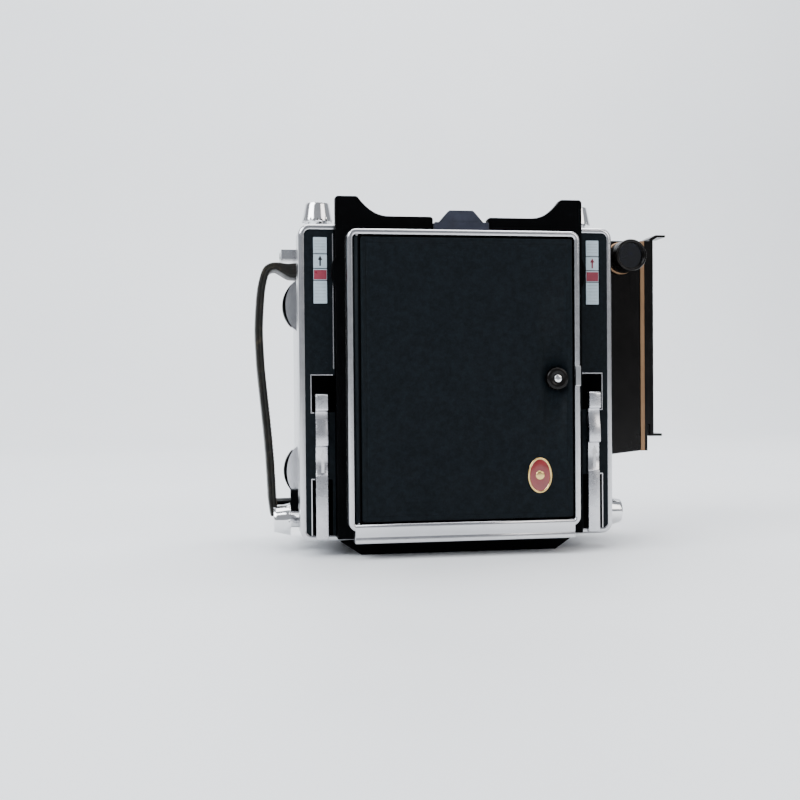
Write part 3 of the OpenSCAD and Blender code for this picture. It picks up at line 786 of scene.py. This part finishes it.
def bellows(name, node, y_back, y_front, half_w, half_h, folds, depth):
    """Square pleats between two frames: outer ridges and inner valleys with cut corners."""
    rings = []
    for i in range(2 * folds + 1):
        y = y_back + (y_front - y_back) * i / (2 * folds)
        pull = 0 if i % 2 == 0 else depth
        w, h, c = half_w - pull, half_h - pull, (3 if i % 2 == 0 else 7) * MM
        rings.append([(x, y, MID_Z + z) for x, z in (
            (w - c, -h), (w, -h + c), (w, h - c), (w - c, h), (-w + c, h), (-w, h - c),
            (-w, -h + c), (-w + c, -h))])
    piece = skin(name, rings, MATERIALS["bellows_cloth"], smooth=False)
    thick = piece.modifiers.new("cloth", "SOLIDIFY")
    thick.thickness = 0.35 * MM
    thick.offset = 0
    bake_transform(piece)
    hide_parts(node)


# ---------------------------------------------------------------- bed, lens and small fittings

def bed_panel():
    """The leather on the bed's outer face, with a pressed border."""
    low, high, mid = span("bed_leather")
    thick = high.y - low.y
    hole_r, reach = 6.5 * MM, 6 * MM
    steps = [(0, 0), (0, thick * 0.5), (0.3, thick * 0.9), (0.9, thick), (5.0, thick),
             (5.3, thick - 0.00025), (5.9, thick - 0.00025), (6.3, thick), (16, thick), (30, thick)]
    panel = ringed_panel("bed_leather_panel", (mid.x, low.y, mid.z),
                         (high.x - low.x, high.z - low.z), 5 * MM,
                         [(inset * MM, height) for inset, height in steps],
                         MATERIALS["leatherette"], outward=1)
    _, _, bush = span("bed_tripod_bush")
    hole = turned("bush_hole", [(hole_r, -reach), (hole_r, reach)], (bush.x, high.y, bush.z),
                  (0, 1, 0), MATERIALS["leatherette"])
    carve(panel, hole)
    settle(panel, "bed", ["bed_leather"])


def seam_bead():
    """A thin half-round bead along the shell's rear edge, where it meets the rear frame."""
    low, high, mid = span("body_shell")
    w, h, corner = high.x - low.x, high.z - low.z, 8 * MM
    y, half_w, rise, steps = low.y + 1.2 * MM, 0.5 * MM, 0.35 * MM, 8
    rings = []
    for k in range(steps + 1):
        a = math.pi * k / steps
        grow = rise * math.sin(a)
        rings.append([(x, y + half_w * (1 - math.cos(a)), mid.z + z)
                      for x, z in rounded_outline(w + 2 * grow, h + 2 * grow, corner + grow, 10)])
    settle(skin("shell_seam_bead", rings, MATERIALS["satin_chrome"]), "camera_body")


def eyepiece_rim():
    """The eyepiece's black face ring, and the worn brown collar at the housing."""
    low, high, mid = span("eyepiece_tube")
    r = (high.x - low.x) / 2 / MM
    cup = [(7.6, 0.6), (7.7, -0.5), (8.3, -0.9), (r - 0.4, -0.8), (r + 0.02, 0.1), (r + 0.02, 1.2)]
    collar = [(7.7, 0), (9.0, 0.1), (9.6, 0.7), (9.6, 2.0), (9.0, 2.7), (7.7, 2.8)]
    for name, profile, y, slot in (("eyepiece_face_ring", cup, low.y, "gloss_black"),
                                   ("eyepiece_collar", collar, high.y - 3.2 * MM, "tan_trim")):
        ring = turned(name, [(radius * MM, along * MM) for radius, along in profile],
                      (mid.x, y, mid.z), (0, 1, 0), MATERIALS[slot])
        open_ends(ring)
        settle(ring, "camera_body")


def open_ends(piece):
    """Removes the two end caps of a turned ring."""
    work = bmesh.new()
    work.from_mesh(piece.data)
    caps = [f for f in work.faces if len(f.verts) > 8]
    bmesh.ops.delete(work, geom=caps, context="FACES_ONLY")
    work.to_mesh(piece.data)
    work.free()


def lens_ring_marks():
    """Index ticks around the lens's front ring, without figures."""
    _, high, mid = span("lens_barrel")
    count, outer, half_w = 24, 19.2 * MM, 0.16 * MM
    ticks = []
    for k in range(count):
        a = 2 * math.pi * k / count
        inner = (16.6 if k % 4 == 0 else 17.8) * MM
        d, s = Vector((math.cos(a), math.sin(a))), Vector((-math.sin(a), math.cos(a))) * half_w
        outline = [d * inner - s, d * outer - s, d * outer + s, d * inner + s]
        ticks.append(plate(f"tick_{k}", [(mid.x + p.x, mid.z + p.y) for p in outline],
                           high.y - 0.1 * MM, high.y + 0.06 * MM, WHITE_FILL))
    settle(joined("lens_ring_ticks", ticks), "standard")


def trim_screws():
    """Small slotted screw heads on the strap's upper fitting and the side bracket."""
    places = [(-97.35, 3.0, 171.3, -1), (125.05, -12, 160, 1), (125.05, -12, 84, 1)]
    profile = [(1.9, -0.1), (1.9, 0.25), (1.5, 0.5), (0.6, 0.58)]
    slot_size = Vector((0.8, 4.4, 0.35)) * MM
    heads = []
    for i, (x, y, z, outward) in enumerate(places):
        seat, axis = Vector((x, y, z)) * MM, Vector((outward, 0, 0))
        head = turned(f"screw_{i}", [(radius * MM, along * MM) for radius, along in profile],
                      seat, axis, MATERIALS["steel"], 24)
        heads.append(carve(head, block_mesh("slot_cut", seat + axis * 0.5 * MM, slot_size)))
    settle(joined("trim_screws", heads), "camera_body")


def block_mesh(name, centre, size):
    """A block used only as a cutter."""
    verts = [centre + Vector((sx * size.x, sy * size.y, sz * size.z)) / 2
             for sx in (-1, 1) for sy in (-1, 1) for sz in (-1, 1)]
    faces = [(0, 1, 3, 2), (4, 6, 7, 5), (0, 4, 5, 1), (2, 3, 7, 6), (0, 2, 6, 4), (1, 5, 7, 3)]
    return add_mesh(name, verts, faces, MATERIALS["steel"], smooth=False)


# ---------------------------------------------------------------- finishes on the CAD nodes

# Rounding of edges in millimetres, for the nodes that differ from the common one.
EDGE = {"glass_carrier": 0.5, "side_lugs": 1.2, "body_shell": 0.5, "pull_tab": 0.4,
        "rangefinder_housing": 0.9, "rangefinder_cover": 0.5, "bed_door": 0.8, "base_plate": 0.5,
        "rail_plates": 0.12, "ground_glass": 0.2, "indicator_plates": 0.12,
        "clamp_knob_top_left": 0.45, "clamp_knob_top_right": 0.45,
        "clamp_knob_side_left": 0.45, "clamp_knob_side_right": 0.45}
COMMON_EDGE, LARGE_EDGE = 0.25, 1.0
# Nodes with paint over the bare metal of their slot.
PAINTED = {"hood_lid": "black_paint"}
# Nodes left sharp: optics, and nodes that a piece above stands for.
NO_BEVEL = {"rangefinder_optics", "lens_glass", "bellows", "bellows_rear", "hand_strap", "lid_leather",
            "bed_leather", "lid_knob", "back_frame", "hood_frame", "lock_slider_left",
            "lock_slider_right"}


def finish_nodes():
    """Gives each CAD node its slot's material, or black paint over it, and softly rounded edges."""
    for name, node in nodes.items():
        node.data.materials.clear()
        node.data.materials.append(MATERIALS[PAINTED.get(name, slot_of[name])])
        if name in NO_BEVEL:
            continue
        weld = node.modifiers.new("weld", "WELD")
        weld.merge_threshold = 0.002 * MM
        edge = EDGE.get(name, COMMON_EDGE)
        round_edges(node, edge * MM, 4 if edge > LARGE_EDGE else 2)


add_camera()
add_world()
add_light("window", (-1.6, -0.9, 1.5), (0, 0, 0.1), (1.6, 1.3), 62, (0.93, 0.97, 1.0))
add_light("fill", (1.4, -1.3, 1.1), (0, 0, 0.1), (1.2, 1.2), 16, (1.0, 0.95, 0.90))
add_light("top", (0.1, 0.3, 1.9), (0, 0, 0), (1.8, 1.8), 50, (0.97, 0.98, 1.0))
add_light("wall_wash", (0.9, 0.6, 1.6), (0.4, 1.6, 0.1), (1.0, 0.6), 9, (0.97, 0.98, 1.0))
add_floor()
finish_nodes()
lid_panel()
lid_spine()
lid_button()
lid_badge()
hood_rim()
lug_dark_reflections()
rear_frame()
for side in (-1, 1):
    scale_marks(side)
    pocket_edges(side)
    lock_slider(side)
    lock_arrow(side)
hand_strap()
bellows("bellows_front", "bellows", -24.4 * MM, -9.7 * MM, 54 * MM, 54 * MM, 7, 6 * MM)
bellows("bellows_back", "bellows_rear", -28.4 * MM, -44.6 * MM, 55 * MM, 64 * MM, 5, 5 * MM)
bed_panel()
seam_bead()
eyepiece_rim()
lens_ring_marks()
trim_screws()
